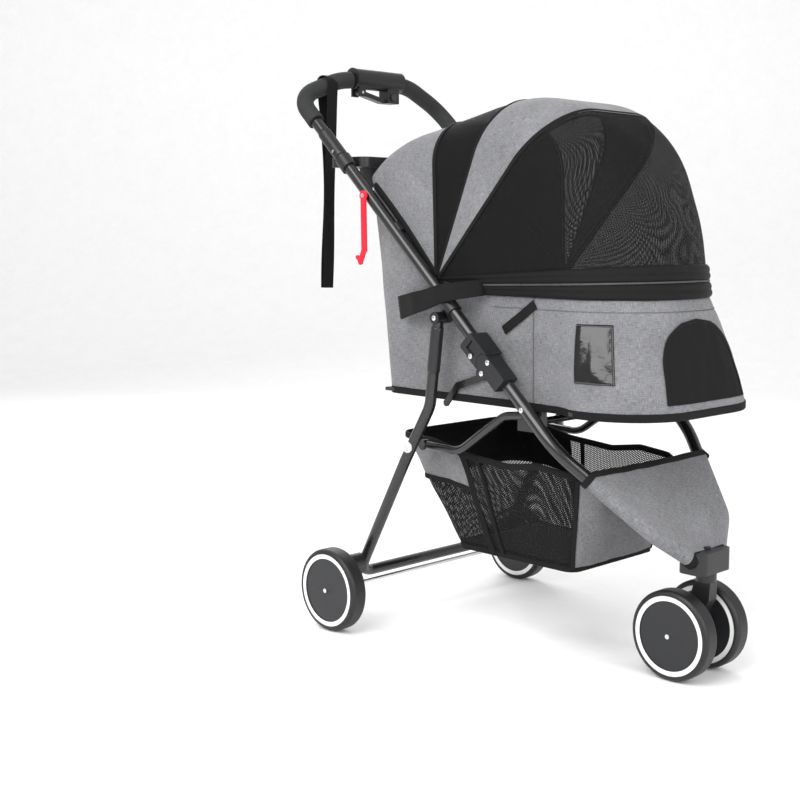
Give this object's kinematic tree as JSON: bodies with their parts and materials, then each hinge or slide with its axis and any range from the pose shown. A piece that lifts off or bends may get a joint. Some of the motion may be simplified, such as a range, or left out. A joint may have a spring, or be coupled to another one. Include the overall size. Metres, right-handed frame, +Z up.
{
  "type": "pet stroller",
  "caption": "Folding pet stroller with a swivelling twin front wheel, fabric cabin, opening mesh canopy, under-basket and cup tray.",
  "frame": {"origin": "on the floor under the middle of the stroller", "axes": "+X forward, +Y to the stroller's left, +Z up"},
  "size_m": [0.8684, 0.55, 1.0385],
  "materials": {
    "steel_tube": "gloss black powder coat",
    "black_plastic": "moulded satin black plastic",
    "bright_steel": "bright plated steel",
    "board": "fabric-covered hardboard",
    "grey_cloth": "heather grey woven polyester",
    "black_mesh": "black polyester mesh",
    "black_webbing": "woven black webbing",
    "pad_cloth": "quilted grey fabric",
    "foam": "closed-cell foam",
    "red_plastic": "moulded red plastic",
    "tyre": "moulded EVA tyre",
    "wheel": "moulded wheel disc"
  },
  "bodies": {
    "front_frame": {"front_tube_left": "steel_tube", "front_tube_right": "steel_tube", "head_block": "black_plastic", "lower_latch_left": "black_plastic", "lower_latch_right": "black_plastic", "support_arm_left": "steel_tube", "support_arm_right": "steel_tube", "seat_bracket": "steel_tube", "frame_rivets": "bright_steel", "cabin_board": "board", "cabin_walls": "grey_cloth", "rim_wire": "steel_tube", "rear_hood": "grey_cloth", "floor_pad": "pad_cloth", "basket": "black_mesh", "basket_board": "board", "front_shield": "grey_cloth"},
    "handle": {"handle_tube_left": "steel_tube", "handle_tube_right": "steel_tube", "grip_left": "foam", "grip_right": "foam", "release_housing": "black_plastic", "upper_latch_left": "black_plastic", "upper_latch_right": "black_plastic", "cup_tray": "black_plastic", "tray_clamps": "black_plastic", "wrist_strap": "black_webbing", "leg_bracket_left": "black_plastic", "leg_bracket_right": "black_plastic", "handle_rivets": "bright_steel"},
    "lever": {"release_lever": "black_plastic"},
    "button": {"safety_button": "black_plastic"},
    "latch_slide_left": {"latch_pin_left": "bright_steel"},
    "latch_slide_right": {"latch_pin_right": "bright_steel"},
    "hook": {"fold_hook": "red_plastic"},
    "rear_frame": {"rear_leg_left": "steel_tube", "rear_leg_right": "steel_tube", "rear_cross_tube": "steel_tube", "rear_axle": "bright_steel", "brake_housing_left": "black_plastic", "brake_housing_right": "black_plastic", "rear_bolts": "bright_steel"},
    "pedal_left": {"brake_pedal_left": "black_plastic"},
    "pedal_right": {"brake_pedal_right": "black_plastic"},
    "link_left": {"link_arm_left": "steel_tube"},
    "link_right": {"link_arm_right": "steel_tube"},
    "caster": {"caster_fork": "black_plastic", "front_axle": "bright_steel"},
    "wheel_rear_left": {"rear_tyre_left": "tyre", "rear_wheel_left": "wheel"},
    "wheel_rear_right": {"rear_tyre_right": "tyre", "rear_wheel_right": "wheel"},
    "wheel_front_left": {"front_tyre_left": "tyre", "front_wheel_left": "wheel"},
    "wheel_front_right": {"front_tyre_right": "tyre", "front_wheel_right": "wheel"},
    "bow": {"canopy_bow": "steel_tube", "canopy_band": "black_mesh"},
    "hoop": {"canopy_hoop": "steel_tube", "canopy_dome": "black_mesh"}
  },
  "joints": [
    {"name": "fold", "type": "hinge", "parent": "front_frame", "child": "handle", "pos_m": [0.0732, 0, 0.492], "axis": [0, -1, 0], "range_deg": [0, 134], "deforming": ["wrist_strap"]},
    {"name": "legs_fold", "type": "hinge", "parent": "handle", "child": "rear_frame", "pos_m": [-0.03455, 0, 0.5788], "axis": [0, -1, 0], "range_deg": [-65.15, 0]},
    {"name": "link_left_fold", "type": "hinge", "parent": "front_frame", "child": "link_left", "pos_m": [0.14205, 0, 0.42507], "axis": [0, -1, 0], "range_deg": [0, 104.55]},
    {"name": "link_right_fold", "type": "hinge", "parent": "front_frame", "child": "link_right", "pos_m": [0.14205, 0, 0.42507], "axis": [0, -1, 0], "range_deg": [0, 104.55]},
    {"name": "lever_squeeze", "type": "hinge", "parent": "handle", "child": "lever", "pos_m": [-0.4082, -0.046, 0.99205], "axis": [1, 0, 0], "range_deg": [0, 10], "stiffness_Nm_per_rad": 1.5, "springref_deg": -6.88},
    {"name": "latch_left_slide", "type": "slide", "parent": "handle", "child": "latch_slide_left", "axis": [-0.7314, 0, 0.682], "range_m": [0, 0.00805]},
    {"name": "latch_right_slide", "type": "slide", "parent": "handle", "child": "latch_slide_right", "axis": [-0.7314, 0, 0.682], "range_m": [0, 0.00805]},
    {"name": "button_press", "type": "slide", "parent": "handle", "child": "button", "axis": [-1, 0, 0], "range_m": [0, 0.003], "stiffness_N_per_m": 600, "springref_m": -0.001},
    {"name": "hook_swing", "type": "hinge", "parent": "handle", "child": "hook", "pos_m": [-0.22228, 0, 0.78805], "axis": [0, -1, 0], "range_deg": [-35, 60]},
    {"name": "pedal_left_press", "type": "hinge", "parent": "rear_frame", "child": "pedal_left", "pos_m": [-0.2628, 0, 0.104], "axis": [0, -1, 0], "range_deg": [0, 18]},
    {"name": "pedal_right_press", "type": "hinge", "parent": "rear_frame", "child": "pedal_right", "pos_m": [-0.2628, 0, 0.104], "axis": [0, -1, 0], "range_deg": [0, 18]},
    {"name": "rear_left_spin", "type": "hinge", "parent": "rear_frame", "child": "wheel_rear_left", "pos_m": [-0.2468, 0, 0.075], "axis": [0, 1, 0], "continuous": true},
    {"name": "rear_right_spin", "type": "hinge", "parent": "rear_frame", "child": "wheel_rear_right", "pos_m": [-0.2468, 0, 0.075], "axis": [0, 1, 0], "continuous": true},
    {"name": "caster_swivel", "type": "hinge", "parent": "front_frame", "child": "caster", "pos_m": [0.3882, 0, 0.17], "axis": [0, 0, 1], "continuous": true},
    {"name": "front_left_spin", "type": "hinge", "parent": "caster", "child": "wheel_front_left", "pos_m": [0.3592, 0, 0.075], "axis": [0, 1, 0], "continuous": true},
    {"name": "front_right_spin", "type": "hinge", "parent": "caster", "child": "wheel_front_right", "pos_m": [0.3592, 0, 0.075], "axis": [0, 1, 0], "continuous": true},
    {"name": "canopy_open", "type": "hinge", "parent": "front_frame", "child": "hoop", "pos_m": [-0.06503, 0, 0.64142], "axis": [0, -1, 0], "range_deg": [0, 78], "deforming": ["canopy_dome"]},
    {"name": "bow_open", "type": "hinge", "parent": "front_frame", "child": "bow", "pos_m": [-0.06503, 0, 0.64142], "axis": [0, -1, 0], "range_deg": [0, 40.05], "deforming": ["canopy_band"]}
  ],
  "couplings": [
    {"joint": "legs_fold", "follows": "fold", "ratio": -0.48582},
    {"joint": "link_left_fold", "follows": "fold", "ratio": 0.77985},
    {"joint": "link_right_fold", "follows": "fold", "ratio": 0.77985},
    {"joint": "latch_left_slide", "follows": "lever_squeeze", "m_per_rad": 0.045837},
    {"joint": "latch_right_slide", "follows": "lever_squeeze", "m_per_rad": 0.045837},
    {"joint": "bow_open", "follows": "canopy_open", "ratio": 0.51282}
  ]
}
